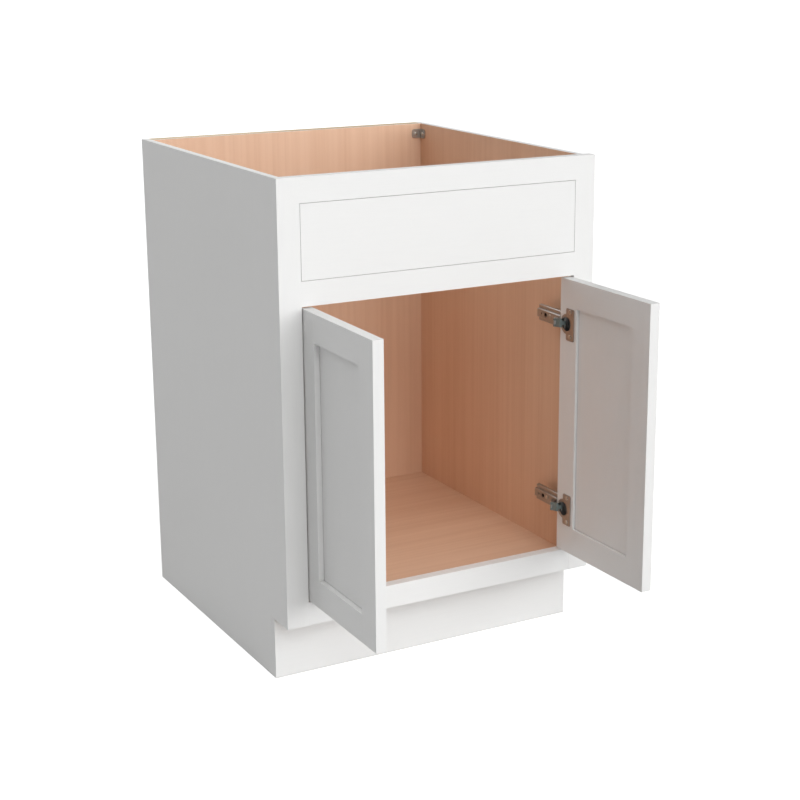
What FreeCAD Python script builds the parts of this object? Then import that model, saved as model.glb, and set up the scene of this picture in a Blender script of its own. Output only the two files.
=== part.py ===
"""Sink base vanity cabinet: plywood case, face frame, fixed drawer front, two inset doors on cup hinges."""
import FreeCAD, Part
import math
import os

Vector = FreeCAD.Vector
X_AXIS = Vector(1, 0, 0)
Y_AXIS = Vector(0, 1, 0)
Z_AXIS = Vector(0, 0, 1)
ORIGIN = Vector(0, 0, 0)

# Overall size, in millimetres
cabinet_width = 609.6
cabinet_depth = 609.6
cabinet_height = 876.3

# Face frame
frame_thickness = 19.0
stile_width = 40.0
rail_width = 42.0
drawer_opening_height = 127.0
left_overhang = 0.0
right_overhang = 12.7
tenon_length = 12.0
tenon_thickness = 7.0
tenon_shoulder = 8.0

# Case
side_thickness = 12.7
floor_thickness = 12.7
floor_drop = 19.0
back_thickness = 5.0
hanging_rail_thickness = 19.0
hanging_rail_height = 89.0
wall_screw_spacing = 406.4
wall_screw_hole_radius = 2.5
dado_depth = 6.0
joint_clearance = 0.2

# Toe space
toe_height = 110.5
toe_setback = 55.0
toe_board_thickness = 12.7

# Fixed drawer front and the cleats behind it
false_front_gap = 0.7
cleat_width = 50.0
cleat_thickness = 19.0
cleat_lap = 25.0
cleat_from_stile = 84.8

# Doors
door_gap = 3.0
door_thickness = 19.0
door_stile_width = 49.0
door_rail_width = 49.0
panel_thickness = 4.5
panel_recess = 9.5
groove_depth = 7.0
door_open_angle = 90.75

# Swing line of a closed door, from its hinge edge, and how near the swinging corner comes to the frame
swing_from_edge = 4.0
corner_clearance = 0.36

# Hinge cup, let into the back of the door
hinge_from_end = 81.0
cup_from_edge = 20.5
cup_radius = 17.4
cup_depth = 12.8
cup_wall = 1.0
cup_bore_clearance = 0.1
rim_overlap = 0.8
mouth_radius = 12.7
mouth_side_clearance = 1.0
flange_from_cup = 10.5
flange_width = 24.0
flange_height = 58.0
flange_thickness = 1.2
flange_corner_radius = 3.0
cup_screw_spacing = 45.0
cup_pin_reach = 12.0
cup_pin_radius = 1.2
cup_pin_clearance = 0.3

# Hinge plate on the back of the frame stile
plate_thickness = 3.0
plate_foot_width = 13.0
plate_foot_height = 44.0
plate_screw_spacing = 28.0
plate_web_height = 16.0
plate_rail_width = 9.0
plate_rail_rise = 10.0
plate_rail_start = 23.0

# Hinge arm, a pressed channel over the plate's rail
arm_width = 16.0
arm_thickness = 3.0
arm_start_from_frame = 5.0
arm_end_from_front = 97.0
arm_step_drop = 4.0
arm_flange_width = 7.0
arm_lip_drop = 10.0
arm_fold_radius = 2.0
arm_adjuster_from_front = 56.0
arm_screw_from_front = 70.0
arm_screw_sink = 2.0
arm_screw_sink_clearance = 0.5
arm_hole_from_front = 83.0
arm_hole_radius = 2.0
nose_width = 6.0
nose_radius = 3.2
nose_clearance = 1.3
knee_from_edge = 16.0
knee_from_face = 27.5
arm_pin_from_edge = 28.0
arm_pin_from_face = 12.0
arm_pin_radius = 1.25
pin_clearance = 0.05

# Hinge link between the arm's nose and the cup
link_width = 15.0
link_half_thickness = 1.5
link_eye_radius = 2.9
link_tip_radius = 1.7
link_elbow_along = 10.2
link_elbow_offset = 5.0
link_tongue_width = 7.0
link_tongue_length = 7.5
link_side_clearance = 0.4

# Corner brackets under the top edge
bracket_leg = 20.0
bracket_height = 18.0
bracket_thickness = 2.0
bracket_drop = 11.0
bracket_corner_radius = 5.0
bracket_screw_from_bend = 12.0

# Screws
screw_radius = 2.0
screw_clearance = 0.1
screw_head_radius = 3.6
screw_head_height = 1.6
screw_bite = 9.0

# Planes worked out from the sizes above; the floor is at zero under the middle of the toe board
front = -(toe_setback + toe_board_thickness / 2)
frame_back = front + frame_thickness
back = front + cabinet_depth
half_width = cabinet_width / 2
top = cabinet_height
opening_half = half_width - stile_width
left_outer = -half_width + left_overhang
left_inner = left_outer + side_thickness
right_outer = half_width - right_overhang
right_inner = right_outer - side_thickness
top_rail_bottom = top - rail_width
mid_rail_top = top_rail_bottom - drawer_opening_height
mid_rail_bottom = mid_rail_top - rail_width
bottom_rail_top = toe_height + rail_width
floor_top = bottom_rail_top - floor_drop
floor_bottom = floor_top - floor_thickness
back_rear = back - hanging_rail_thickness
back_front = back_rear - back_thickness
toe_front = front + toe_setback
toe_rear = toe_front + toe_board_thickness

door_width = (2 * opening_half - 3 * door_gap) / 2
door_bottom = bottom_rail_top + door_gap
door_top = mid_rail_bottom - door_gap
hinge_edge = -opening_half + door_gap
# The corner of a swinging door turns about the swing line and passes the frame with its clearance
swing_from_face = math.sqrt((swing_from_edge + door_gap - corner_clearance) ** 2 - swing_from_edge ** 2)
hinge_heights = {"lower": door_bottom + hinge_from_end, "upper": door_top - hinge_from_end}


def box(x0, x1, y0, y1, z0, z1):
    return Part.makeBox(x1 - x0, y1 - y0, z1 - z0, Vector(x0, y0, z0))


def rod(centre, axis, radius, length):
    return Part.makeCylinder(radius, length, centre, axis)


def prism(points, z0, z1):
    """Upright solid on a closed outline of (x, y) points."""
    corners = [Vector(x, y, z0) for x, y in points]
    face = Part.Face(Part.makePolygon(corners + corners[:1]))
    return face.extrude(Vector(0, 0, z1 - z0))


def channel(points, y0, y1):
    """Solid from front to back on a closed outline of (x, z) points."""
    corners = [Vector(x, y0, z) for x, z in points]
    face = Part.Face(Part.makePolygon(corners + corners[:1]))
    return face.extrude(Vector(0, y1 - y0, 0))


def bar(start, end, half, z0, z1):
    """Upright flat bar from one (x, y) point to another, with round ends."""
    dx = end[0] - start[0]
    dy = end[1] - start[1]
    span = math.hypot(dx, dy)
    sx = -dy / span * half
    sy = dx / span * half
    outline = [(start[0] + sx, start[1] + sy), (start[0] - sx, start[1] - sy),
               (end[0] - sx, end[1] - sy), (end[0] + sx, end[1] + sy)]
    ends = [rod(Vector(x, y, z0), Z_AXIS, half, z1 - z0) for x, y in (start, end)]
    return prism(outline, z0, z1).multiFuse(ends)


def screw(seat, direction, grip):
    """Pan head screw whose head sits on the seat, and the hole that it needs below the seat."""
    length = grip + screw_bite
    head = rod(seat - direction * screw_head_height, direction, screw_head_radius, screw_head_height)
    shank = rod(seat, direction, screw_radius, length)
    hole = rod(seat, direction, screw_radius + screw_clearance, length + screw_clearance)
    return head.fuse(shank), hole


def mirrored(shape):
    return shape.mirror(ORIGIN, X_AXIS)


def on_side(side, shape):
    """A piece drawn for the left door, or its mirror image for the right one."""
    return shape if side == "left" else mirrored(shape)


def save(name, shape):
    shape.removeSplitter().exportStep("parts/%s.step" % name)


def save_group(name, shapes):
    Part.makeCompound(shapes).exportStep("parts/%s.step" % name)


# A point of the left door, measured from the closed door's hinge edge and outer face
def door_point(from_edge, from_face):
    return hinge_edge + from_edge, front + from_face


swing_x, swing_y = door_point(swing_from_edge, swing_from_face)


def hang(shape):
    """Swing a piece of the closed left door to the open position."""
    turned = shape.copy()
    turned.rotate(Vector(swing_x, swing_y, 0), Z_AXIS, -door_open_angle)
    return turned


# Hinge geometry: the cup pin is as far from the arm pin with the door shut as with it open
arm_pin = door_point(arm_pin_from_edge, arm_pin_from_face)
pin_bearing = math.atan2(arm_pin_from_face - swing_from_face, arm_pin_from_edge - swing_from_edge)
cup_pin_bearing = pin_bearing + math.radians(door_open_angle) / 2
open_pin_bearing = pin_bearing - math.radians(door_open_angle) / 2
cup_pin = (swing_x + cup_pin_reach * math.cos(cup_pin_bearing),
           swing_y + cup_pin_reach * math.sin(cup_pin_bearing))
open_cup_pin = (swing_x + cup_pin_reach * math.cos(open_pin_bearing),
                swing_y + cup_pin_reach * math.sin(open_pin_bearing))


def hinge_cup(z):
    """Steel cup with its screw flange, drawn on the closed left door, and its two pin stubs."""
    cx, seat = door_point(cup_from_edge, door_thickness)
    axis = Vector(0, -1, 0)
    centre = cx + flange_from_cup
    flange = box(centre - flange_width / 2, centre + flange_width / 2, seat, seat + flange_thickness,
                 z - flange_height / 2, z + flange_height / 2)
    corners = [e for e in flange.Edges if abs(e.Vertexes[0].Y - e.Vertexes[1].Y) > flange_thickness / 2]
    flange = flange.makeFillet(flange_corner_radius, corners)
    surface = Vector(cx, seat + flange_thickness, z)
    rim = rod(surface, axis, cup_radius + rim_overlap, flange_thickness)
    mouth = rod(surface, axis, mouth_radius, flange_thickness)
    notch = link_width / 2 + mouth_side_clearance
    way_out = box(hinge_edge, cx, seat, seat + flange_thickness, z - notch, z + notch)
    inner = cup_radius - cup_wall
    cup = rod(Vector(cx, seat, z), axis, cup_radius, cup_depth)
    cup = cup.cut(rod(Vector(cx, seat, z), axis, inner, cup_depth - cup_wall))
    cup = cup.fuse(flange.fuse(rim).cut(mouth).cut(way_out))
    reach = math.sqrt(inner ** 2 - (cup_pin[0] - cx) ** 2) + cup_wall / 2
    gap = link_tongue_width / 2 + cup_pin_clearance
    for end in (-1, 1):
        start = Vector(cup_pin[0], cup_pin[1], z + end * gap)
        cup = cup.fuse(rod(start, Vector(0, 0, end), cup_pin_radius, reach - gap))
    return cup


def cup_screws(z):
    cx, seat = door_point(cup_from_edge + flange_from_cup, door_thickness + flange_thickness)
    heights = (z - cup_screw_spacing / 2, z + cup_screw_spacing / 2)
    return [screw(Vector(cx, seat, h), Vector(0, -1, 0), flange_thickness) for h in heights]


def hinge_plate(z):
    """Angle plate: a foot on the back of the frame stile and a rail that runs into the case."""
    x = -opening_half
    foot = box(x - plate_foot_width, x, frame_back, frame_back + plate_thickness,
               z - plate_foot_height / 2, z + plate_foot_height / 2)
    web = box(x - plate_thickness, x, frame_back, front + arm_end_from_front,
              z - plate_web_height / 2, z + plate_web_height / 2)
    rail = box(x, x + plate_rail_rise, frame_back + plate_rail_start, front + arm_end_from_front,
               z - plate_rail_width / 2, z + plate_rail_width / 2)
    return foot.fuse(web).fuse(rail)


def plate_screws(z):
    x = -opening_half - (plate_foot_width + plate_thickness) / 2
    seat = frame_back + plate_thickness
    heights = (z - plate_screw_spacing / 2, z + plate_screw_spacing / 2)
    return [screw(Vector(x, seat, h), Vector(0, -1, 0), plate_thickness) for h in heights]


def arm_seat(from_front, sink, z):
    """Point on an arm's face, or sunk below it, where a screw's head sits."""
    over = -opening_half + plate_rail_rise + arm_thickness
    return Vector(over - sink, front + from_front, z)


def hinge_arm(z):
    """Pressed arm on the plate's rail: a face, a lipped flange stepped down each side, a cranked nose."""
    under = -opening_half + plate_rail_rise
    over = under + arm_thickness
    lip = over - arm_lip_drop
    start = frame_back + arm_start_from_frame
    end = front + arm_end_from_front
    neck = frame_back + plate_rail_start - nose_radius - arm_thickness

    def layer(inset):
        face = over - inset
        step = face - arm_step_drop
        half = arm_width / 2 - inset
        wide = arm_width / 2 + arm_flange_width - inset
        return channel([(lip, z - wide), (step, z - wide), (step, z - half), (face, z - half),
                        (face, z + half), (step, z + half), (step, z + wide), (lip, z + wide)], start, end)

    arm = layer(0)
    folds = []
    for edge in arm.Edges:
        middle = edge.CenterOfMass
        lengthwise = abs(edge.Vertexes[0].Y - edge.Vertexes[1].Y) > arm_thickness
        face_fold = middle.x > over - arm_fold_radius
        lip_fold = abs(middle.z - z) > arm_width / 2 + arm_fold_radius and middle.x > lip + arm_fold_radius
        if lengthwise and (face_fold or lip_fold):
            folds.append(edge)
    arm = arm.makeFillet(arm_fold_radius, folds).cut(layer(arm_thickness))
    px, py = arm_pin
    knee = door_point(knee_from_edge, knee_from_face)
    z0 = z - nose_width / 2
    z1 = z + nose_width / 2
    crank = bar((under + arm_thickness / 2, neck), knee, nose_radius, z0, z1)
    crank = crank.fuse(bar(knee, arm_pin, nose_radius, z0, z1))
    bore = rod(Vector(px, py, z0), Z_AXIS, arm_pin_radius + pin_clearance, nose_width)
    sink = rod(arm_seat(arm_screw_from_front, arm_screw_sink, z), X_AXIS,
               screw_head_radius + arm_screw_sink_clearance, arm_screw_sink)
    hole = rod(arm_seat(arm_hole_from_front, arm_thickness, z), X_AXIS, arm_hole_radius, arm_thickness)
    return arm.fuse(crank).cut(bore).cut(sink).cut(hole)


def arm_screw(z):
    return screw(arm_seat(arm_screw_from_front, arm_screw_sink, z), Vector(-1, 0, 0),
                 arm_thickness - arm_screw_sink)


def arm_adjuster(z):
    return screw(arm_seat(arm_adjuster_from_front, 0, z), Vector(-1, 0, 0), arm_thickness)


def hinge_pin(z):
    return rod(Vector(arm_pin[0], arm_pin[1], z - link_width / 2), Z_AXIS, arm_pin_radius, link_width)


def hinge_link(z):
    """Bent link of the open hinge, forked round the arm's nose; its tongue ends on the cup's pin line."""
    z0 = z - link_width / 2
    z1 = z + link_width / 2
    tongue0 = z - link_tongue_width / 2
    tongue1 = z + link_tongue_width / 2
    dx = open_cup_pin[0] - arm_pin[0]
    dy = open_cup_pin[1] - arm_pin[1]
    span = math.hypot(dx, dy)
    ex = dx / span
    ey = dy / span
    elbow = (arm_pin[0] + ex * link_elbow_along - ey * link_elbow_offset,
             arm_pin[1] + ey * link_elbow_along + ex * link_elbow_offset)
    share = link_tongue_length / math.dist(elbow, open_cup_pin)
    waist = (open_cup_pin[0] + (elbow[0] - open_cup_pin[0]) * share,
             open_cup_pin[1] + (elbow[1] - open_cup_pin[1]) * share)
    link = bar(arm_pin, elbow, link_half_thickness, z0, z1)
    link = link.fuse(bar(elbow, waist, link_half_thickness, z0, z1))
    link = link.fuse(bar(waist, open_cup_pin, link_half_thickness, tongue0, tongue1))
    link = link.fuse(rod(Vector(arm_pin[0], arm_pin[1], z0), Z_AXIS, link_eye_radius, link_width))
    link = link.fuse(rod(Vector(open_cup_pin[0], open_cup_pin[1], tongue0), Z_AXIS, link_tip_radius,
                         link_tongue_width))
    fork = rod(Vector(arm_pin[0], arm_pin[1], z - nose_width / 2 - link_side_clearance), Z_AXIS,
               nose_radius + nose_clearance, nose_width + 2 * link_side_clearance)
    bore = rod(Vector(arm_pin[0], arm_pin[1], z0), Z_AXIS, arm_pin_radius + pin_clearance, link_width)
    return link.cut(fork).cut(bore)


def door_pieces():
    """The five pieces of the closed left door by name, with tongues and grooves and the cup bores."""
    x0, y0 = door_point(0, 0)
    x1 = x0 + door_width
    y1 = y0 + door_thickness
    inner0 = x0 + door_stile_width
    inner1 = x1 - door_stile_width
    slot0 = y0 + panel_recess
    slot1 = slot0 + panel_thickness
    reach = groove_depth - joint_clearance
    rail_low = door_bottom + door_rail_width
    rail_high = door_top - door_rail_width
    hinge_stile = box(x0, inner0, y0, y1, door_bottom, door_top)
    hinge_stile = hinge_stile.cut(box(inner0 - groove_depth, inner0, slot0, slot1, door_bottom, door_top))
    for z in hinge_heights.values():
        mouth = Vector(x0 + cup_from_edge, y1, z)
        bore = rod(mouth, Vector(0, -1, 0), cup_radius + cup_bore_clearance, cup_depth + cup_bore_clearance)
        hinge_stile = hinge_stile.cut(bore)
        for _, hole in cup_screws(z):
            hinge_stile = hinge_stile.cut(hole)
    meeting_stile = box(inner1, x1, y0, y1, door_bottom, door_top)
    meeting_stile = meeting_stile.cut(box(inner1, inner1 + groove_depth, slot0, slot1, door_bottom, door_top))
    rails = {}
    for name, z0, z1, g0, g1 in (
            ("bottom_rail", door_bottom, rail_low, rail_low - groove_depth, rail_low),
            ("top_rail", rail_high, door_top, rail_high, rail_high + groove_depth)):
        rail = box(inner0, inner1, y0, y1, z0, z1)
        rail = rail.fuse(box(inner0 - reach, inner1 + reach, slot0, slot1, z0, z1))
        rails[name] = rail.cut(box(inner0 - reach, inner1 + reach, slot0, slot1, g0, g1))
    panel = box(inner0 - reach, inner1 + reach, slot0, slot1, rail_low - reach, rail_high + reach)
    return {"hinge_stile": hinge_stile, "meeting_stile": meeting_stile, "panel": panel, **rails}


def bracket(x, y, toward_x, toward_y):
    """Corner bracket with its bend at (x, y) and one leg along each way, and its two screws with holes."""
    z0 = top - bracket_drop - bracket_height
    z1 = top - bracket_drop
    zm = (z0 + z1) / 2

    def leg(axis, normal):
        end = Vector(x, y, zm) + axis * bracket_leg / 2
        span = axis * bracket_leg / 2 + normal * bracket_thickness / 2
        lengths = [abs(span.x) * 2, abs(span.y) * 2, bracket_height]
        centre = end + normal * bracket_thickness / 2
        corner = centre - Vector(lengths[0], lengths[1], lengths[2]) / 2
        plate = Part.makeBox(lengths[0], lengths[1], lengths[2], corner)
        tip = Vector(x, y, zm) + axis * bracket_leg
        rounds = [e for e in plate.Edges
                  if abs((e.CenterOfMass - tip).dot(axis)) < bracket_thickness / 4
                  and abs(abs(e.CenterOfMass.z - zm) - bracket_height / 2) < bracket_thickness / 4]
        plate = plate.makeFillet(bracket_corner_radius, rounds)
        seat = Vector(x, y, zm) + axis * bracket_screw_from_bend + normal * bracket_thickness
        return plate, screw(seat, normal * -1, bracket_thickness)

    along_x, first = leg(Vector(toward_x, 0, 0), Vector(0, toward_y, 0))
    along_y, second = leg(Vector(0, toward_y, 0), Vector(toward_x, 0, 0))
    shape = along_x.fuse(along_y).cut(first[1]).cut(second[1])
    return shape, [first, second]


def side_panel(outer, inner, inward, holes):
    """Side panel with its toe notch, the dado for the floor and the groove for the back."""
    panel = box(min(outer, inner), max(outer, inner), frame_back, back, 0, top)
    panel = panel.cut(box(min(outer, inner), max(outer, inner), frame_back, toe_rear, 0, toe_height))
    deep = inner - inward * dado_depth
    lo = min(deep, inner)
    hi = max(deep, inner)
    panel = panel.cut(box(lo, hi, frame_back, back_rear, floor_bottom, floor_top))
    panel = panel.cut(box(lo, hi, back_front, back_rear, floor_bottom, top))
    for hole in holes:
        panel = panel.cut(hole)
    return panel


os.makedirs("parts", exist_ok=True)

# Corner brackets: two on the back panel and two on the back of the top rail
bracket_screws = []
bracket_holes = []
for name, x, y, toward_x, toward_y in (
        ("back_left", left_inner, back_front, 1, -1), ("back_right", right_inner, back_front, -1, -1),
        ("front_left", left_inner, frame_back, 1, 1), ("front_right", right_inner, frame_back, -1, 1)):
    shape, screws = bracket(x, y, toward_x, toward_y)
    save("corner_bracket_" + name, shape)
    for solid, hole in screws:
        bracket_screws.append(solid)
        bracket_holes.append(hole)
save_group("corner_bracket_screws", bracket_screws)

# Case
save("left_side_panel", side_panel(left_outer, left_inner, 1, bracket_holes))
save("right_side_panel", side_panel(right_outer, right_inner, -1, bracket_holes))

dado_reach = dado_depth - joint_clearance
save("cabinet_floor", box(left_inner - dado_reach, right_inner + dado_reach, frame_back, back_front,
                          floor_bottom, floor_top))

wall_screw_height = top - hanging_rail_height / 2
wall_holes = [rod(Vector(x, back_rear, wall_screw_height), Y_AXIS, wall_screw_hole_radius, back - back_rear)
              for x in (-wall_screw_spacing / 2, wall_screw_spacing / 2)]
back_panel = box(left_inner - dado_reach, right_inner + dado_reach, back_front, back_rear, floor_bottom, top)
upper_hanging_rail = box(left_inner, right_inner, back_rear, back, top - hanging_rail_height, top)
for hole in wall_holes:
    upper_hanging_rail = upper_hanging_rail.cut(hole)
for hole in bracket_holes:
    back_panel = back_panel.cut(hole)
    upper_hanging_rail = upper_hanging_rail.cut(hole)
save("back_panel", back_panel)
save("upper_hanging_rail", upper_hanging_rail)
save("lower_hanging_rail", box(left_inner, right_inner, back_rear, back,
                               floor_bottom, floor_bottom + hanging_rail_height))

toe_board = box(left_outer, right_outer, toe_front, toe_rear, 0, toe_height)
save("toe_board", toe_board.fuse(box(left_inner, right_inner, toe_front, toe_rear, 0, floor_bottom)))

# Face frame: rails between the stiles on stub tenons
tenon_front = front + (frame_thickness - tenon_thickness) / 2
tenon_back = tenon_front + tenon_thickness
rail_spans = {"top_rail": (top_rail_bottom, top), "middle_rail": (mid_rail_bottom, mid_rail_top),
              "bottom_rail": (toe_height, bottom_rail_top)}
cleat_screws = []
cleat_holes = []
cleat_low = mid_rail_top - cleat_lap
cleat_high = top_rail_bottom + cleat_lap
cleat_middle = opening_half - cleat_from_stile
for x in (-cleat_middle, cleat_middle):
    for z in (cleat_low + cleat_lap / 2, mid_rail_top + cleat_lap, top_rail_bottom - cleat_lap,
              cleat_high - cleat_lap / 2):
        solid, hole = screw(Vector(x, frame_back + cleat_thickness, z), Vector(0, -1, 0), cleat_thickness)
        cleat_screws.append(solid)
        cleat_holes.append(hole)
for name, (z0, z1) in rail_spans.items():
    rail = box(-opening_half, opening_half, front, frame_back, z0, z1)
    rail = rail.fuse(box(-opening_half - tenon_length, opening_half + tenon_length, tenon_front, tenon_back,
                         z0 + tenon_shoulder, z1 - tenon_shoulder))
    for hole in cleat_holes + bracket_holes:
        rail = rail.cut(hole)
    save("frame_" + name, rail)

left_stile = box(-half_width, -opening_half, front, frame_back, toe_height, top)
for z0, z1 in rail_spans.values():
    left_stile = left_stile.cut(box(-opening_half - tenon_length - joint_clearance, -opening_half,
                                    tenon_front, tenon_back, z0 + tenon_shoulder, z1 - tenon_shoulder))
for z in hinge_heights.values():
    for _, hole in plate_screws(z):
        left_stile = left_stile.cut(hole)
for side in ("left", "right"):
    stile = on_side(side, left_stile)
    for hole in bracket_holes:
        stile = stile.cut(hole)
    save("frame_%s_stile" % side, stile)

# Fixed drawer front, flush in its opening, and its two cleats
false_front = box(-opening_half + false_front_gap, opening_half - false_front_gap, front, frame_back,
                  mid_rail_top + false_front_gap, top_rail_bottom - false_front_gap)
for hole in cleat_holes:
    false_front = false_front.cut(hole)
save("false_drawer_front", false_front)
for side, x in (("left", -cleat_middle), ("right", cleat_middle)):
    cleat = box(x - cleat_width / 2, x + cleat_width / 2, frame_back, frame_back + cleat_thickness,
                cleat_low, cleat_high)
    for hole in cleat_holes:
        cleat = cleat.cut(hole)
    save("drawer_front_cleat_" + side, cleat)
save_group("drawer_front_screws", cleat_screws)

# Doors and hinges, drawn on the left and mirrored to the right
arm_screws = []
arm_adjusters = []
plate_fixings = []
arm_pins = []
for side in ("left", "right"):
    for name, shape in door_pieces().items():
        save("%s_door_%s" % (side, name), on_side(side, hang(shape)))
    door_screws = []
    for level, z in hinge_heights.items():
        plate = hinge_plate(z)
        arm = hinge_arm(z)
        cup = hinge_cup(z)
        for group, (fixing, fixing_hole) in ((arm_screws, arm_screw(z)), (arm_adjusters, arm_adjuster(z))):
            plate = plate.cut(fixing_hole)
            arm = arm.cut(fixing_hole)
            group.append(on_side(side, fixing))
        for fixing, fixing_hole in plate_screws(z):
            plate = plate.cut(fixing_hole)
            plate_fixings.append(on_side(side, fixing))
        for fixing, fixing_hole in cup_screws(z):
            cup = cup.cut(fixing_hole)
            door_screws.append(on_side(side, hang(fixing)))
        save("%s_%s_hinge_plate" % (side, level), on_side(side, plate))
        save("%s_%s_hinge_arm" % (side, level), on_side(side, arm))
        save("%s_%s_hinge_cup" % (side, level), on_side(side, hang(cup)))
        save("%s_%s_hinge_link" % (side, level), on_side(side, hinge_link(z)))
        arm_pins.append(on_side(side, hinge_pin(z)))
    save_group("%s_door_hinge_screws" % side, door_screws)
save_group("hinge_arm_screws", arm_screws)
save_group("hinge_adjusting_screws", arm_adjusters)
save_group("hinge_plate_screws", plate_fixings)
save_group("hinge_arm_pins", arm_pins)
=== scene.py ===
"""Finish a vanity cabinet: lacquered frame and doors, maple plywood case, plated hinges, studio."""

import math
from collections import namedtuple

import bmesh
import bpy
from bpy.props import FloatProperty, FloatVectorProperty, IntProperty, PointerProperty
from mathutils import Matrix, Vector


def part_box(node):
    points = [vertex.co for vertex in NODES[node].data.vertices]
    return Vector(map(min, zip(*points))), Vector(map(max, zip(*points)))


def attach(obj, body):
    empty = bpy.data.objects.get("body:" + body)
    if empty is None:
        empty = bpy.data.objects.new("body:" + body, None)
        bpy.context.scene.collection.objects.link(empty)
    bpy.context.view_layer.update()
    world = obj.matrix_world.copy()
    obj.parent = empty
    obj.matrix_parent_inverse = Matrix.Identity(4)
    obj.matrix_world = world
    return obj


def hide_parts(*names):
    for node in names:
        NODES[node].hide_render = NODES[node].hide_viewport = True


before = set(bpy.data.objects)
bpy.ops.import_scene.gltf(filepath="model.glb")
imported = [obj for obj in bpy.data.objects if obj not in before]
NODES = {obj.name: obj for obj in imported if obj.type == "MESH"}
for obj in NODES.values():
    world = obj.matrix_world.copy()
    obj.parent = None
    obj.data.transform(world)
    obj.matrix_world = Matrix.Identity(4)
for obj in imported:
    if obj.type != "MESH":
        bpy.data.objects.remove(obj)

bl_info = {
    "name": "Vanity Cabinet Finish",
    "version": (1, 0, 0),
    "blender": (4, 5, 0),
    "location": "View3D > Sidebar > Vanity",
    "description": "Finishes, eased edges, screws and studio for an inset-door vanity cabinet",
    "category": "Object",
}

MM = 0.001
SIDES = ("left", "right")
LEVELS = ("upper", "lower")
AXES = "XYZ"
# Points nearer than this are one point
WELD = 0.001 * MM
# Edges of the CAD's pieces that turn by more than this are rounded, in so many steps
EASED_TURN = math.radians(40)
EASED_STEPS = 3
# Edges of the screws that turn by more than this are drawn sharp
SHARP_TURN = math.radians(35)
# Measures of a screw that differ by less than this share are the same
SAME_SHARE = 0.05
SCREW_SIDES = 32
# Where the rings of a screw head's dome lie, in degrees from the screw's axis
DOME_TURNS = (0, 12, 24, 36, 48, 60, 72, 90)
# Width of a cross recess's floor, as a share of its mouth
RECESS_TAPER = 0.75
# Width of the studio's floor in metres, so wide that its end lies out of view
STUDIO_WIDTH = 120
Screw = namedtuple("Screw", "place head rim shank reach")


def linear(hex_colour):
    """Linear RGBA of an sRGB hex colour."""
    shares = [int(hex_colour[i:i + 2], 16) / 255 for i in (1, 3, 5)]
    return [c / 12.92 if c <= 0.04045 else ((c + 0.055) / 1.055) ** 2.4 for c in shares] + [1.0]


def colour(name, description, hex_colour):
    """A colour that the user can change."""
    return FloatVectorProperty(name=name, description=description, subtype="COLOR", size=4, min=0, max=1,
                               default=linear(hex_colour))


def length(name, description, millimetres):
    """A size that the user can change."""
    return FloatProperty(name=name, description=description, subtype="DISTANCE", unit="LENGTH", min=0,
                         precision=4, default=millimetres * MM)


def angle(name, description, degrees):
    """An angle that the user can change."""
    return FloatProperty(name=name, description=description, subtype="ANGLE", unit="ROTATION",
                         default=math.radians(degrees))


class VanityColours(bpy.types.PropertyGroup):
    """Colours of the cabinet's finishes."""

    lacquer: colour("Lacquer", "White lacquer on the frame, doors and outer sides", "#EFEFEE")
    lacquer_shade: colour("Lacquer in the grain", "White lacquer where it has sunk into the grain", "#EEEEED")
    # Painted shade: the grey that ambient occlusion mixes into the lacquer in corners and gaps
    lacquer_painted_shade: colour("Painted corner shade", "Grey of the painted shade on the white lacquer in corners and gaps", "#B4B3B1")
    maple: colour("Maple", "Ground colour of the maple veneer", "#EAC5A9")
    maple_grain: colour("Maple grain", "Darker streaks of the maple veneer", "#DEB597")
    ply_core: colour("Core plies", "Light plies on a plywood edge", "#E3CBA6")
    ply_cross: colour("Cross plies", "Dark plies on a plywood edge", "#B98F66")
    batten: colour("Batten", "Ground colour of the poplar battens", "#DCC7A0")
    batten_grain: colour("Batten grain", "Late wood of the poplar battens", "#BFA477")
    nickel: colour("Nickel", "Nickel plating of the hinges", "#ADADAC")
    link: colour("Link", "Grey chromate on the zinc of the hinge links", "#7D8987")
    zinc: colour("Zinc", "Zinc plating of the screws", "#CFCBC2")
    # Painted shade: the arm screws are near-black so that they read as the shaded holes they sit in
    hole_shade_black: colour("Hole shade", "Near-black steel of the hinge arms' screws, as painted shade of their holes", "#121010")
    bracket: colour("Bracket", "Passivated steel of the corner brackets", "#C2C0BC")


class VanityDetail(bpy.types.PropertyGroup):
    """Small sizes of the finish."""

    wood_edge: length("Wood edge", "Radius of the eased edges of the lacquered wood", 0.35)
    ply_edge: length("Plywood edge", "Radius of the eased edges of the plywood", 0.3)
    metal_edge: length("Metal edge", "Radius of the edges of the stamped steel", 0.25)
    arm_edge: length("Arm edge", "Radius of the folds of the hinge arms", 0.7)
    # Reach of the painted shade that ambient occlusion puts into the lacquer's corners and gaps
    painted_shade_reach: length("Painted shade reach", "How far painted shade spreads from a corner of the lacquer", 3)
    board_plies: IntProperty(name="Board plies", description="Plies of the sides, floor and toe board", min=1,
                             default=7)
    head_dome: length("Head dome", "Rise of a screw head's dome above its rim", 0.9)
    recess_arm: length("Recess arm", "Reach of a cross recess from the screw's middle", 2.1)
    recess_width: length("Recess width", "Width of a cross recess's arms", 0.9)
    recess_depth: length("Recess depth", "Depth of a cross recess", 1.2)


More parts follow.
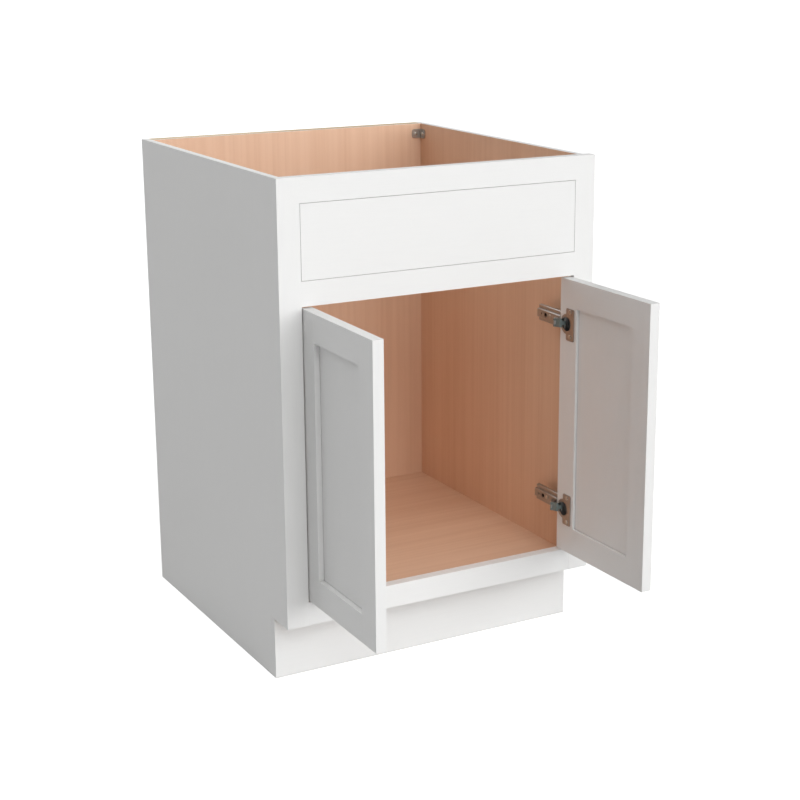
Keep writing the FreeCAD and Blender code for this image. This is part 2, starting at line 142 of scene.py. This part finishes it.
class VanityStage(bpy.types.PropertyGroup):
    """Camera and light."""

    azimuth: angle("Azimuth", "Camera's turn from the cabinet's front", -29.89)
    elevation: angle("Elevation", "Camera's height above the horizon", 15.13)
    aim: FloatVectorProperty(name="Aim", description="Point that the camera faces", subtype="TRANSLATION",
                             unit="LENGTH", size=3, default=(0.1923, 0.2554, 0.3928))
    distance: length("Distance", "From the camera to its aim", 3297)
    lens: FloatProperty(name="Lens", description="Focal length", unit="CAMERA", default=76.2)
    shift_x: FloatProperty(name="Shift across", description="Shift to the side, in widths", default=-0.0615)
    shift_y: FloatProperty(name="Shift up", description="Shift upwards, in widths", default=-0.0141)
    key_power: FloatProperty(name="Key light", description="Strength of the wide front light", default=3.06)
    key_spread: angle("Key spread", "How wide the front light is, seen from the cabinet", 70)
    key_turn: angle("Key turn", "Front light's turn from the cabinet's front", 25)
    key_height: angle("Key height", "Front light's height above the horizon", 10)
    fill_power: FloatProperty(name="Fill light", description="Strength of the high front light", default=0.84)
    fill_spread: angle("Fill spread", "How wide the high light is, seen from the cabinet", 40)
    fill_turn: angle("Fill turn", "High light's turn from the cabinet's front", -15)
    fill_height: angle("Fill height", "High light's height above the horizon", 45)
    sky: FloatProperty(name="Sky", description="Strength of the sky at its brightest", default=1.64)
    sky_turn: angle("Sky turn", "Turn of the sky's bright side from the cabinet's front", -165)
    sky_height: angle("Sky height", "Height of the sky's bright side above the horizon", 40)
    sky_core: angle("Sky core", "Turn from the sky's bright side up to which it is at its brightest", 25.84)
    sky_rim: angle("Sky rim", "Turn from the sky's bright side at which it is dark", 53.13)
    floor_lit: colour("Floor", "Studio floor as the cabinet is lit by it", "#C8C8C8")
    floor_seen: colour("Floor in view", "Studio floor as the camera sees it", "#A8A8A8")
    floor_glow: FloatProperty(name="Floor glow", description="Light that the lit floor shows", default=0.8)


def toward(turn, height):
    """Direction at a turn from the cabinet's front and a height above the horizon."""
    level = math.cos(height)
    return Vector((math.sin(turn) * level, -math.cos(turn) * level, math.sin(height)))


def put(tree, kind, inputs=None, **settings):
    """Add a node, set it, and give its sockets constants or links from other nodes."""
    node = tree.nodes.new("ShaderNode" + kind)
    for name, value in settings.items():
        setattr(node, name, value)
    for name, value in (inputs or {}).items():
        if isinstance(value, bpy.types.NodeSocket):
            tree.links.new(value, node.inputs[name])
        else:
            node.inputs[name].default_value = value
    return node


def new_material(name):
    """The material of that name with no nodes, its node tree and its object coordinates in metres."""
    material = bpy.data.materials.get(name) or bpy.data.materials.new(name)
    material.use_nodes = True
    tree = material.node_tree
    tree.nodes.clear()
    return material, tree, put(tree, "TexCoord").outputs["Object"]


def close(material, tree, inputs):
    """Give the material its surface."""
    shader = put(tree, "BsdfPrincipled", inputs)
    put(tree, "OutputMaterial", {"Surface": shader.outputs["BSDF"]})
    return material


def stretched(across, along, grain):
    """Scale of a pattern that is across wide and along long, in millimetres, on the grain's axis."""
    return [1 / (along if axis == grain else across) / MM for axis in AXES]


def white_lacquer(scene, grain, self_shade_only=False):
    """Sprayed white lacquer on sanded maple: an even satin white, the grain just seen.

    Its corners and gaps get painted shade: ambient occlusion mixes it toward a grey. A self-shaded-only piece
    gets painted shade only in its own corners, not where it meets another piece.
    """
    colours = scene.vanity_colours
    shade_scope = "own_shade_" if self_shade_only else ""
    material, tree, place = new_material("white_lacquer_on_maple_" + shade_scope + grain.lower())
    streak = put(tree, "Mapping", {"Vector": place, "Scale": stretched(1.8, 70, grain)})
    fibre = put(tree, "TexNoise", {"Vector": streak.outputs["Vector"], "Scale": 1.0, "Detail": 3.0})
    cloud = put(tree, "TexNoise", {"Vector": place, "Scale": 1 / (140 * MM), "Detail": 2.0})
    peel = put(tree, "TexNoise", {"Vector": place, "Scale": 1 / (2.2 * MM), "Detail": 2.0})
    sunk = put(tree, "MapRange", {"Value": fibre.outputs["Fac"], "From Min": 0.42, "From Max": 0.68})
    tint = put(tree, "Mix", {"Factor": sunk.outputs["Result"], 6: colours.lacquer, 7: colours.lacquer_shade},
               data_type="RGBA")
    # Painted shade: the lacquer turns grey where ambient occlusion finds corners and gaps nearby
    open_share = put(tree, "AmbientOcclusion", {"Distance": scene.vanity_detail.painted_shade_reach}, samples=8,
                     only_local=self_shade_only)
    painted_shade_tint = put(tree, "Mix", {"Factor": open_share.outputs["AO"], 6: colours.lacquer_painted_shade,
                               7: tint.outputs[2]}, data_type="RGBA")
    gloss = put(tree, "MapRange", {"Value": cloud.outputs["Fac"], "To Min": 0.38, "To Max": 0.46})
    grain_bump = put(tree, "Bump", {"Height": fibre.outputs["Fac"], "Strength": 0.03, "Distance": 0.08 * MM})
    skin_bump = put(tree, "Bump", {"Height": peel.outputs["Fac"], "Strength": 0.03, "Distance": 0.05 * MM,
                                   "Normal": grain_bump.outputs["Normal"]})
    return close(material, tree, {"Base Color": painted_shade_tint.outputs[2], "Roughness": gloss.outputs["Result"],
                                  "IOR": 1.5, "Normal": skin_bump.outputs["Normal"]})


def maple_veneer(colours, grain):
    """Rotary-cut maple veneer under a clear coat: pale pink brown, fine long streaks, slow bands of tone."""
    material, tree, place = new_material("clear_coated_maple_veneer_" + grain.lower())
    streak = put(tree, "Mapping", {"Vector": place, "Scale": stretched(9, 600, grain)})
    band = put(tree, "Mapping", {"Vector": place, "Scale": stretched(70, 1400, grain)})
    pore = put(tree, "Mapping", {"Vector": place, "Scale": stretched(1.1, 16, grain)})
    streaks = put(tree, "TexNoise", {"Vector": streak.outputs["Vector"], "Scale": 1.0, "Detail": 4.0,
                                     "Roughness": 0.6})
    bands = put(tree, "TexNoise", {"Vector": band.outputs["Vector"], "Scale": 1.0, "Detail": 2.0})
    pores = put(tree, "TexNoise", {"Vector": pore.outputs["Vector"], "Scale": 1.0, "Detail": 2.0})
    dark_streak = put(tree, "MapRange", {"Value": streaks.outputs["Fac"], "From Min": 0.4, "From Max": 0.8,
                                         "To Max": 0.7})
    dark_band = put(tree, "MapRange", {"Value": bands.outputs["Fac"], "From Min": 0.35, "From Max": 0.7,
                                       "To Max": 0.4})
    dark = put(tree, "Math", {0: dark_streak.outputs["Result"], 1: dark_band.outputs["Result"]},
               operation="ADD")
    wood = put(tree, "Mix", {"Factor": dark.outputs["Value"], 6: colours.maple, 7: colours.maple_grain},
               data_type="RGBA", clamp_factor=True)
    gloss = put(tree, "MapRange", {"Value": pores.outputs["Fac"], "To Min": 0.36, "To Max": 0.52})
    bump = put(tree, "Bump", {"Height": pores.outputs["Fac"], "Strength": 0.15, "Distance": 0.08 * MM})
    return close(material, tree, {"Base Color": wood.outputs[2], "Roughness": gloss.outputs["Result"],
                                  "IOR": 1.5, "Normal": bump.outputs["Normal"]})


def plywood_edge(colours, across, ply):
    """Sawn plywood edge: light and dark plies in turn, rough to the touch, along the sheet's thickness."""
    material, tree, place = new_material("sawn_plywood_edge_" + across.lower())
    fleck = put(tree, "TexNoise", {"Vector": place, "Scale": 1 / (1.4 * MM), "Detail": 3.0})
    # A wave repeats every pi / 10 of its coordinates, and one wave is a light ply and a dark one
    plies = put(tree, "TexWave", {"Vector": place, "Scale": math.pi / 10 / (2 * ply), "Distortion": 0.6,
                                  "Detail": 2.0, "Detail Scale": 6.0}, bands_direction=across)
    both = put(tree, "Mix", {"Factor": 0.25, 2: plies.outputs["Fac"], 3: fleck.outputs["Fac"]})
    wood = put(tree, "Mix", {"Factor": both.outputs[0], 6: colours.ply_cross, 7: colours.ply_core},
               data_type="RGBA")
    bump = put(tree, "Bump", {"Height": both.outputs[0], "Strength": 0.4, "Distance": 0.15 * MM})
    return close(material, tree, {"Base Color": wood.outputs[2], "Roughness": 0.75,
                                  "Normal": bump.outputs["Normal"]})


def planed_poplar(colours, grain):
    """Planed poplar batten with no coat: dull and pale, with wide soft growth rings and fine pores."""
    material, tree, place = new_material("planed_poplar_" + grain.lower())
    ring = put(tree, "Mapping", {"Vector": place, "Scale": stretched(11, 260, grain)})
    pore = put(tree, "Mapping", {"Vector": place, "Scale": stretched(0.9, 18, grain)})
    rings = put(tree, "TexNoise", {"Vector": ring.outputs["Vector"], "Scale": 1.0, "Detail": 3.0,
                                   "Distortion": 0.6})
    pores = put(tree, "TexNoise", {"Vector": pore.outputs["Vector"], "Scale": 1.0, "Detail": 2.0})
    late = put(tree, "MapRange", {"Value": rings.outputs["Fac"], "From Min": 0.38, "From Max": 0.66})
    wood = put(tree, "Mix", {"Factor": late.outputs["Result"], 6: colours.batten, 7: colours.batten_grain},
               data_type="RGBA")
    bump = put(tree, "Bump", {"Height": pores.outputs["Fac"], "Strength": 0.3, "Distance": 0.12 * MM})
    return close(material, tree, {"Base Color": wood.outputs[2], "Roughness": 0.68,
                                  "Normal": bump.outputs["Normal"]})


def plated_steel(name, base, low, high, spot, metal=1.0):
    """Plated steel: a clear metal sheen, clouded where the plating is thicker, with a faint rolled skin.

    Its roughness goes from low to high in clouds of spot millimetres. A thick chromate over the zinc hides
    part of the metal, so metal is then under one.
    """
    material, tree, place = new_material(name)
    cloud = put(tree, "TexNoise", {"Vector": place, "Scale": 1 / (spot * MM), "Detail": 3.0})
    skin = put(tree, "TexNoise", {"Vector": place, "Scale": 1 / (0.6 * MM), "Detail": 2.0})
    gloss = put(tree, "MapRange", {"Value": cloud.outputs["Fac"], "From Min": 0.3, "From Max": 0.7,
                                   "To Min": low, "To Max": high})
    tone = put(tree, "MapRange", {"Value": cloud.outputs["Fac"], "From Min": 0.3, "From Max": 0.7,
                                  "To Min": 0.95, "To Max": 1.03})
    tint = put(tree, "HueSaturation", {"Color": base, "Value": tone.outputs["Result"]})
    bump = put(tree, "Bump", {"Height": skin.outputs["Fac"], "Strength": 0.05, "Distance": 0.03 * MM})
    return close(material, tree, {"Base Color": tint.outputs["Color"], "Metallic": metal,
                                  "Roughness": gloss.outputs["Result"], "Normal": bump.outputs["Normal"]})


def ease(name, radius):
    """Round a CAD node's edges with modifiers; its own mesh stays as it is."""
    weld = NODES[name].modifiers.new("joined_faces", "WELD")
    weld.merge_threshold = WELD
    bevel = NODES[name].modifiers.new("eased_edges", "BEVEL")
    bevel.width = radius
    bevel.segments = EASED_STEPS
    bevel.limit_method = "ANGLE"
    bevel.angle_limit = EASED_TURN
    bevel.harden_normals = True


def dress(name, material, radius, faces=None):
    """Give a CAD node its material, and other materials on the sides that faces names, such as -X."""
    mesh = NODES[name].data
    mesh.materials.clear()
    mesh.materials.append(material)
    slots = {}
    for side, other in (faces or {}).items():
        mesh.materials.append(other)
        slots[side] = len(mesh.materials) - 1
    for polygon in mesh.polygons:
        axis = max(range(3), key=lambda i: abs(polygon.normal[i]))
        side = ("-" if polygon.normal[axis] < 0 else "+") + AXES[axis]
        polygon.material_index = slots.get(side, 0)
    ease(name, radius)


def measure_screws(mesh):
    """Each screw of a CAD node: its place, with Z out of the head's top, its radii, rim and reach."""
    shape = bmesh.new()
    shape.from_mesh(mesh)
    bmesh.ops.remove_doubles(shape, verts=shape.verts, dist=WELD)
    screws = []
    for seed in shape.faces:
        if seed.tag:
            continue
        seed.tag = True
        island = [seed]
        flats = {}
        for face in island:
            # The faces of one flat share its depth and its normal
            depth = round(face.normal.dot(face.verts[0].co), 5)
            flats.setdefault((depth, *(round(share, 2) for share in face.normal)), []).append(face)
            for edge in face.edges:
                for other in edge.link_faces:
                    if not other.tag:
                        other.tag = True
                        island.append(other)
        # The head's top is the largest flat of a screw
        top = max(flats.values(), key=lambda faces: sum(face.calc_area() for face in faces))
        area = sum(face.calc_area() for face in top)
        moment = sum((face.calc_center_median() * face.calc_area() for face in top), Vector())
        place = top[0].normal.to_track_quat("Z", "Y").to_matrix().to_4x4()
        place.translation = moment / area
        spots = [place.inverted() @ vert.co for face in island for vert in face.verts]
        head = max(spot.xy.length for spot in spots)
        rim = -min(spot.z for spot in spots if spot.xy.length > (1 - SAME_SHARE) * head)
        shank = max(spot.xy.length for spot in spots if spot.z < -(1 + SAME_SHARE) * rim)
        screws.append(Screw(place, head, rim, shank, -min(spot.z for spot in spots)))
    shape.free()
    return screws


def revolve(shape, profile, steps):
    """Turn a profile of (radius, height) points about Z; its first and last radius are zero."""
    rings = []
    for radius, height in profile:
        turns = [math.tau * i / steps for i in range(steps if radius else 1)]
        spots = [(radius * math.cos(turn), radius * math.sin(turn), height) for turn in turns]
        rings.append([shape.verts.new(spot) for spot in spots])
    for upper, lower in zip(rings, rings[1:]):
        for i in range(steps):
            corners = [ring[k % steps % len(ring)] for ring, k in
                       ((upper, i), (lower, i), (lower, i + 1), (upper, i + 1))]
            shape.faces.new(dict.fromkeys(corners))


def add_screw(shape, size, detail):
    """Add a pan head screw with a domed head and a cross recess."""
    screw = bmesh.new()
    turns = [math.radians(degrees) for degrees in DOME_TURNS]
    profile = [(size.head * math.sin(turn), detail.head_dome * (math.cos(turn) - 1)) for turn in turns]
    profile += [(size.head, -size.rim), (size.shank, -size.rim), (size.shank, size.shank - size.reach),
                (0, -size.reach)]
    revolve(screw, profile, SCREW_SIDES)
    arm = detail.recess_arm
    half = detail.recess_width / 2
    for axis in (Vector((1, 0, 0)), Vector((0, 1, 0))):
        for offset in (-arm, -half, half, arm):
            dome = [face for face in screw.faces if face.calc_center_median().z > -detail.head_dome]
            edges = {edge for face in dome for edge in face.edges}
            bmesh.ops.bisect_plane(screw, geom=dome + list(edges) + list({v for e in edges for v in e.verts}),
                                   plane_co=axis * offset, plane_no=axis, dist=WELD)
    slot = []
    for face in screw.faces:
        middle = face.calc_center_median()
        short, wide = sorted((abs(middle.x), abs(middle.y)))
        if short < half and wide < arm and middle.z > -detail.head_dome:
            slot.append(face)
    sunk = bmesh.ops.extrude_face_region(screw, geom=slot)["geom"]
    bmesh.ops.delete(screw, geom=slot, context="FACES")
    for vert in sunk:
        if isinstance(vert, bmesh.types.BMVert):
            vert.co = (vert.co.x * RECESS_TAPER, vert.co.y * RECESS_TAPER, -detail.recess_depth)
    bmesh.ops.transform(screw, matrix=size.place, verts=screw.verts)
    made = bpy.data.meshes.new("screw")
    screw.to_mesh(made)
    screw.free()
    shape.from_mesh(made)
    bpy.data.meshes.remove(made)


class VANITY_OT_case(bpy.types.Operator):
    """Finish the side panels, back, floor, toe board and hanging rails"""

    bl_idname = "vanity.case"
    bl_label = "Case"

    def execute(self, context):
        colours = context.scene.vanity_colours
        detail = context.scene.vanity_detail
        paint = white_lacquer(context.scene, "Z")
        upright = maple_veneer(colours, "Z")
        low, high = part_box("left_side_panel")
        side_edge = plywood_edge(colours, "X", (high.x - low.x) / detail.board_plies)
        for side, outer, inner in (("left", "-X", "+X"), ("right", "+X", "-X")):
            faces = {outer: paint, inner: upright, "+Z": paint, "-Y": paint}
            dress(side + "_side_panel", side_edge, detail.ply_edge, faces)
        low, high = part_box("cabinet_floor")
        floor_edge = plywood_edge(colours, "Z", (high.z - low.z) / detail.board_plies)
        flat = maple_veneer(colours, "X")
        dress("cabinet_floor", floor_edge, detail.ply_edge, {"+Z": flat, "-Z": flat})
        # The back panel's plies are as thick as the toe board's, and fewer
        low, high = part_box("toe_board")
        upright_edge = plywood_edge(colours, "Y", (high.y - low.y) / detail.board_plies)
        kick = white_lacquer(context.scene, "X")
        dress("toe_board", upright_edge, detail.ply_edge, {"-Y": kick, "-X": kick, "+X": kick, "+Y": flat})
        dress("back_panel", upright_edge, detail.ply_edge, {"-Y": upright, "+Y": upright, "+Z": paint})
        poplar = planed_poplar(colours, "X")
        for level in LEVELS:
            dress(level + "_hanging_rail", poplar, detail.wood_edge)
        return {"FINISHED"}


class VANITY_OT_face_frame(bpy.types.Operator):
    """Finish the face frame, the fixed drawer front and its cleats"""

    bl_idname = "vanity.face_frame"
    bl_label = "Face frame"

    def execute(self, context):
        colours = context.scene.vanity_colours
        detail = context.scene.vanity_detail
        upright = white_lacquer(context.scene, "Z")
        level = white_lacquer(context.scene, "X")
        for side in SIDES:
            dress("frame_%s_stile" % side, upright, detail.wood_edge)
        for rail in ("top", "middle", "bottom"):
            dress("frame_%s_rail" % rail, level, detail.wood_edge)
        dress("false_drawer_front", level, detail.wood_edge)
        poplar = planed_poplar(colours, "Z")
        for side in SIDES:
            dress("drawer_front_cleat_" + side, poplar, detail.wood_edge)
        return {"FINISHED"}


class VANITY_OT_doors(bpy.types.Operator):
    """Finish both doors"""

    bl_idname = "vanity.doors"
    bl_label = "Doors"

    def execute(self, context):
        detail = context.scene.vanity_detail
        # Door stiles and rails get painted shade only in their own corners; the inset panels get it also
        # beside the frame
        upright = white_lacquer(context.scene, "Z", self_shade_only=True)
        # The doors stand open at rest, so their rails run along Y
        level = white_lacquer(context.scene, "Y", self_shade_only=True)
        inset = white_lacquer(context.scene, "Z")
        for side in SIDES:
            dress(side + "_door_panel", inset, detail.wood_edge)
            for piece in ("hinge_stile", "meeting_stile"):
                dress("%s_door_%s" % (side, piece), upright, detail.wood_edge)
            for piece in ("top_rail", "bottom_rail"):
                dress("%s_door_%s" % (side, piece), level, detail.wood_edge)
        return {"FINISHED"}


class VANITY_OT_hinges(bpy.types.Operator):
    """Finish the hinges and the corner brackets"""

    bl_idname = "vanity.hinges"
    bl_label = "Hinges and brackets"

    def execute(self, context):
        colours = context.scene.vanity_colours
        detail = context.scene.vanity_detail
        nickel = plated_steel("nickel_plated_steel", colours.nickel, low=0.3, high=0.36, spot=6)
        link = plated_steel("chromated_zinc", colours.link, low=0.42, high=0.5, spot=4, metal=0.3)
        galvanised = plated_steel("passivated_steel", colours.bracket, low=0.35, high=0.5, spot=5)
        for side in SIDES:
            for level in LEVELS:
                for piece, edge in (("arm", detail.arm_edge), ("cup", detail.metal_edge),
                                    ("plate", detail.metal_edge)):
                    dress("%s_%s_hinge_%s" % (side, level, piece), nickel, edge)
                dress("%s_%s_hinge_link" % (side, level), link, detail.metal_edge)
            for end in ("front", "back"):
                dress("corner_bracket_%s_%s" % (end, side), galvanised, detail.metal_edge)
        dress("hinge_arm_pins", nickel, detail.metal_edge)
        return {"FINISHED"}


class VANITY_OT_screws(bpy.types.Operator):
    """Build the screws with domed heads and cross recesses"""

    bl_idname = "vanity.screws"
    bl_label = "Screws"

    def execute(self, context):
        colours = context.scene.vanity_colours
        zinc = plated_steel("zinc_plated_steel", colours.zinc, low=0.25, high=0.38, spot=3)
        # Painted shade: the near-black arm screws stand in for the shade in their holes
        hole_shade_steel = plated_steel("hole_shade_black_steel", colours.hole_shade_black, low=0.45, high=0.6, spot=3)
        for name, body, material in (
                ("corner_bracket_screws", "case", zinc), ("drawer_front_screws", "case", zinc),
                ("hinge_arm_screws", "case", hole_shade_steel), ("hinge_adjusting_screws", "case", zinc),
                ("hinge_plate_screws", "case", zinc), ("left_door_hinge_screws", "left_door", zinc),
                ("right_door_hinge_screws", "right_door", zinc)):
            shape = bmesh.new()
            for size in measure_screws(NODES[name].data):
                add_screw(shape, size, context.scene.vanity_detail)
            mesh = bpy.data.meshes.new("recessed_" + name)
            shape.to_mesh(mesh)
            shape.free()
            mesh.shade_smooth()
            mesh.set_sharp_from_angle(angle=SHARP_TURN)
            mesh.materials.append(material)
            piece = bpy.data.objects.new("recessed_" + name, mesh)
            context.scene.collection.objects.link(piece)
            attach(piece, body)
            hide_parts(name)
        return {"FINISHED"}


class VANITY_OT_stage(bpy.types.Operator):
    """Lay the floor, set the light and place the camera"""

    bl_idname = "vanity.stage"
    bl_label = "Studio"

    def execute(self, context):
        scene = context.scene
        stage = scene.vanity_stage
        bpy.ops.mesh.primitive_plane_add(size=STUDIO_WIDTH)
        floor = context.object
        floor.name = "studio_floor"
        material, tree = new_material("matt_white_floor")[:2]
        seen = put(tree, "LightPath").outputs["Is Camera Ray"]
        shade = put(tree, "Mix", {"Factor": seen, 6: stage.floor_lit, 7: stage.floor_seen}, data_type="RGBA")
        glow = put(tree, "Math", {0: seen, 1: stage.floor_glow}, operation="MULTIPLY")
        floor.data.materials.append(close(material, tree, {
            "Base Color": shade.outputs[2], "Roughness": 0.9, "Emission Color": (1, 1, 1, 1),
            "Emission Strength": glow.outputs["Value"]}))

        scene.world = bpy.data.worlds.new("soft_sky")
        scene.world.use_nodes = True
        tree = scene.world.node_tree
        tree.nodes.clear()
        seen = put(tree, "LightPath").outputs["Is Camera Ray"]
        way = put(tree, "TexCoord").outputs["Generated"]
        share = put(tree, "VectorMath", {0: way, 1: toward(stage.sky_turn, stage.sky_height)},
                    operation="DOT_PRODUCT")
        light = put(tree, "MapRange", {"Value": share.outputs["Value"], "From Min": math.cos(stage.sky_rim),
                                       "From Max": math.cos(stage.sky_core), "To Max": stage.sky})
        strength = put(tree, "Mix", {"Factor": seen, 2: light.outputs["Result"], 3: 1.0})
        sky = put(tree, "Background", {"Color": (1, 1, 1, 1), "Strength": strength.outputs[0]})
        put(tree, "OutputWorld", {"Surface": sky.outputs["Background"]})

        for name, power, spread, turn, height in (
                ("key_light", stage.key_power, stage.key_spread, stage.key_turn, stage.key_height),
                ("fill_light", stage.fill_power, stage.fill_spread, stage.fill_turn, stage.fill_height)):
            lamp = bpy.data.objects.new(name, bpy.data.lights.new(name, "SUN"))
            lamp.data.energy = power
            lamp.data.angle = spread
            lamp.rotation_euler = (math.pi / 2 - height, 0, turn)
            scene.collection.objects.link(lamp)

        across = Vector((math.cos(stage.azimuth), math.sin(stage.azimuth), 0))
        back = toward(stage.azimuth, stage.elevation)
        place = Matrix((across, back.cross(across), back)).transposed().to_4x4()
        place.translation = Vector(stage.aim) + back * stage.distance
        camera = bpy.data.objects.new("camera", bpy.data.cameras.new("camera"))
        camera.data.lens = stage.lens
        camera.data.shift_x = stage.shift_x
        camera.data.shift_y = stage.shift_y
        camera.matrix_world = place
        scene.collection.objects.link(camera)
        scene.camera = camera
        scene.view_settings.view_transform = "Standard"
        return {"FINISHED"}


class VANITY_PT_sidebar(bpy.types.Panel):
    """Sizes, colours and steps of the finish."""

    bl_label = "Vanity cabinet"
    bl_space_type = "VIEW_3D"
    bl_region_type = "UI"
    bl_category = "Vanity"

    def draw(self, context):
        for group in (context.scene.vanity_colours, context.scene.vanity_detail, context.scene.vanity_stage):
            box = self.layout.box()
            for name in group.bl_rna.properties.keys():
                if name not in ("rna_type", "name"):
                    box.prop(group, name)
        for operator in OPERATORS:
            self.layout.operator(operator.bl_idname)


GROUPS = {"vanity_colours": VanityColours, "vanity_detail": VanityDetail, "vanity_stage": VanityStage}
OPERATORS = (VANITY_OT_case, VANITY_OT_face_frame, VANITY_OT_doors, VANITY_OT_hinges, VANITY_OT_screws,
             VANITY_OT_stage)
CLASSES = (*GROUPS.values(), *OPERATORS, VANITY_PT_sidebar)


def register():
    for cls in CLASSES:
        bpy.utils.register_class(cls)
    for name, group in GROUPS.items():
        setattr(bpy.types.Scene, name, PointerProperty(type=group))


def unregister():
    for name in GROUPS:
        delattr(bpy.types.Scene, name)
    for cls in reversed(CLASSES):
        bpy.utils.unregister_class(cls)


def main():
    """Dress the cabinet."""
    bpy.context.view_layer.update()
    register()
    bpy.ops.vanity.case()
    bpy.ops.vanity.face_frame()
    bpy.ops.vanity.doors()
    bpy.ops.vanity.hinges()
    bpy.ops.vanity.screws()
    bpy.ops.vanity.stage()


if __name__ == "__main__":
    main()
